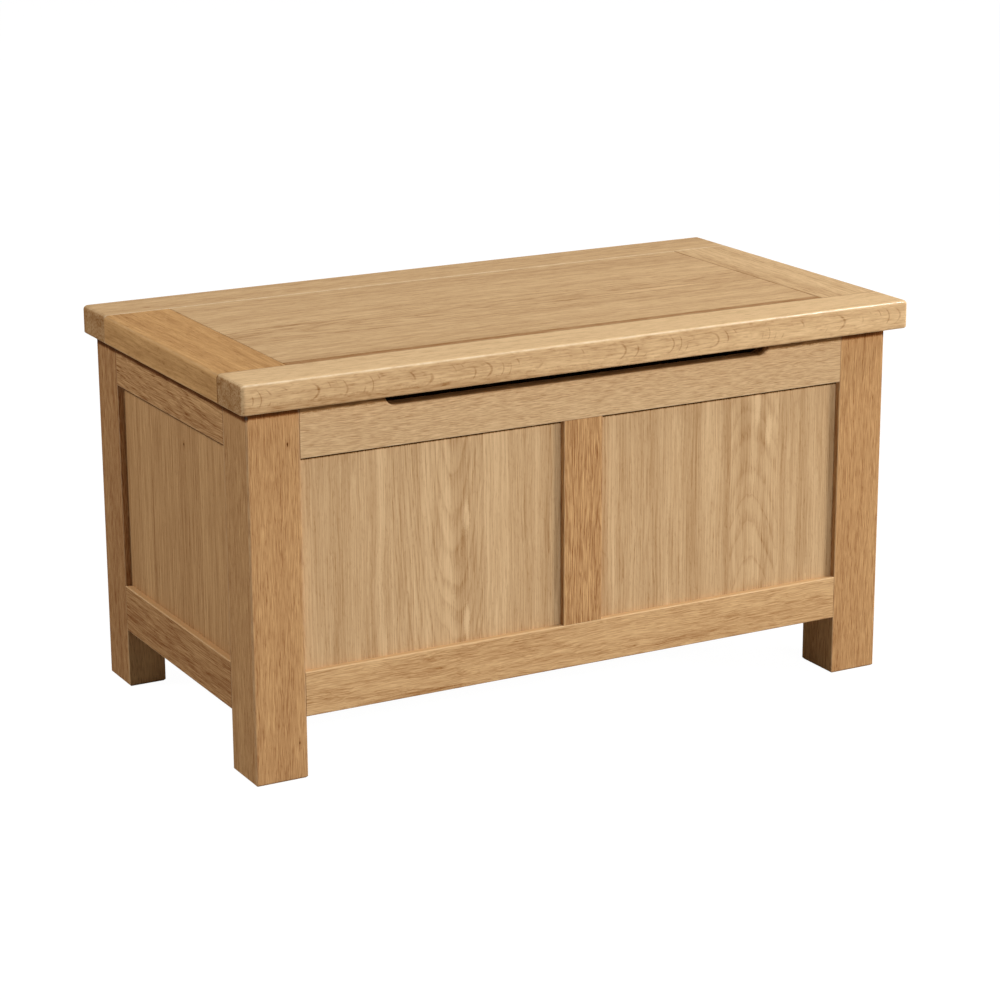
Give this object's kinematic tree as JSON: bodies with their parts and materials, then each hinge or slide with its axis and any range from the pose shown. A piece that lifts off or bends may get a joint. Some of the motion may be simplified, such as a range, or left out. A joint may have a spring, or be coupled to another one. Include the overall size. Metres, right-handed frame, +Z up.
{
  "type": "blanket chest",
  "caption": "Framed and panelled oak blanket chest on square legs, with a hinged framed lid, a finger recess at the front and folding lid stays.",
  "frame": {"origin": "on the floor, under the middle of the overall box, hinge knuckles included", "axes": "+X to the chest's right as seen from the front, -Y out of the front, +Z up"},
  "size_m": [0.85, 0.4648, 0.456],
  "materials": {
    "oak_frame": "satin lacquered oak",
    "oak_panel": "satin lacquered oak",
    "oak_lid": "satin lacquered oak",
    "bottom_ply": "sealed plywood",
    "batten_wood": "planed softwood",
    "hinge_brass": "satin brass",
    "stay_steel": "zinc plated",
    "screw_steel": "zinc plated",
    "clear_buffer": "soft pad"
  },
  "bodies": {
    "chest": {"back_batten": "batten_wood", "back_bottom_rail": "oak_frame", "back_left_leg": "oak_frame", "back_left_panel": "oak_panel", "back_mullion": "oak_frame", "back_right_leg": "oak_frame", "back_right_panel": "oak_panel", "back_top_rail": "oak_frame", "batten_screws": "screw_steel", "bottom_board": "bottom_ply", "front_batten": "batten_wood", "front_bottom_rail": "oak_frame", "front_left_leg": "oak_frame", "front_left_panel": "oak_panel", "front_mullion": "oak_frame", "front_right_leg": "oak_frame", "front_right_panel": "oak_panel", "front_top_rail": "oak_frame", "hinge_frame_screws": "screw_steel", "left_batten": "batten_wood", "left_bottom_rail": "oak_frame", "left_hinge_frame_leaf": "hinge_brass", "left_hinge_pin": "hinge_brass", "left_panel": "oak_panel", "left_stay_leg_bracket": "stay_steel", "left_stay_leg_rivet": "stay_steel", "left_top_rail": "oak_frame", "lid_buffers": "clear_buffer", "right_batten": "batten_wood", "right_bottom_rail": "oak_frame", "right_hinge_frame_leaf": "hinge_brass", "right_hinge_pin": "hinge_brass", "right_panel": "oak_panel", "right_stay_leg_bracket": "stay_steel", "right_stay_leg_rivet": "stay_steel", "right_top_rail": "oak_frame", "stay_leg_screws": "screw_steel"},
    "lid": {"hinge_lid_screws": "screw_steel", "left_hinge_lid_leaf": "hinge_brass", "left_stay_lid_bracket": "stay_steel", "left_stay_lid_rivet": "stay_steel", "lid_back_rail": "oak_lid", "lid_board_back": "oak_lid", "lid_board_front": "oak_lid", "lid_board_second": "oak_lid", "lid_board_third": "oak_lid", "lid_front_rail": "oak_lid", "lid_left_rail": "oak_lid", "lid_right_rail": "oak_lid", "right_hinge_lid_leaf": "hinge_brass", "right_stay_lid_bracket": "stay_steel", "right_stay_lid_rivet": "stay_steel", "stay_lid_screws": "screw_steel"},
    "left_stay_arm": {"left_stay_arm": "stay_steel", "left_stay_knee_rivet": "stay_steel"},
    "left_stay_link": {"left_stay_link": "stay_steel"},
    "right_stay_arm": {"right_stay_arm": "stay_steel", "right_stay_knee_rivet": "stay_steel"},
    "right_stay_link": {"right_stay_link": "stay_steel"}
  },
  "joints": [
    {"name": "lid_hinge", "type": "hinge", "parent": "chest", "child": "lid", "pos_m": [0, 0.22945, 0.42225], "axis": [-1, 0, 0], "range_deg": [0, 95]},
    {"name": "left_arm_pivot", "type": "hinge", "parent": "chest", "child": "left_stay_arm", "pos_m": [-0.3593, 0.18445, 0.29225], "axis": [-1, 0, 0], "range_deg": [0, 95]},
    {"name": "left_link_pivot", "type": "hinge", "parent": "lid", "child": "left_stay_link", "pos_m": [-0.3593, 0.07945, 0.411], "axis": [-1, 0, 0], "range_deg": [-95, 0]},
    {"name": "right_arm_pivot", "type": "hinge", "parent": "chest", "child": "right_stay_arm", "pos_m": [0.3593, 0.18445, 0.29225], "axis": [-1, 0, 0], "range_deg": [0, 95]},
    {"name": "right_link_pivot", "type": "hinge", "parent": "lid", "child": "right_stay_link", "pos_m": [0.3593, 0.07945, 0.411], "axis": [-1, 0, 0], "range_deg": [-95, 0]}
  ],
  "couplings": [
    {"joint": "left_arm_pivot", "follows": "lid_hinge", "ratio": 1},
    {"joint": "left_link_pivot", "follows": "lid_hinge", "ratio": -1},
    {"joint": "right_arm_pivot", "follows": "lid_hinge", "ratio": 1},
    {"joint": "right_link_pivot", "follows": "lid_hinge", "ratio": -1}
  ]
}
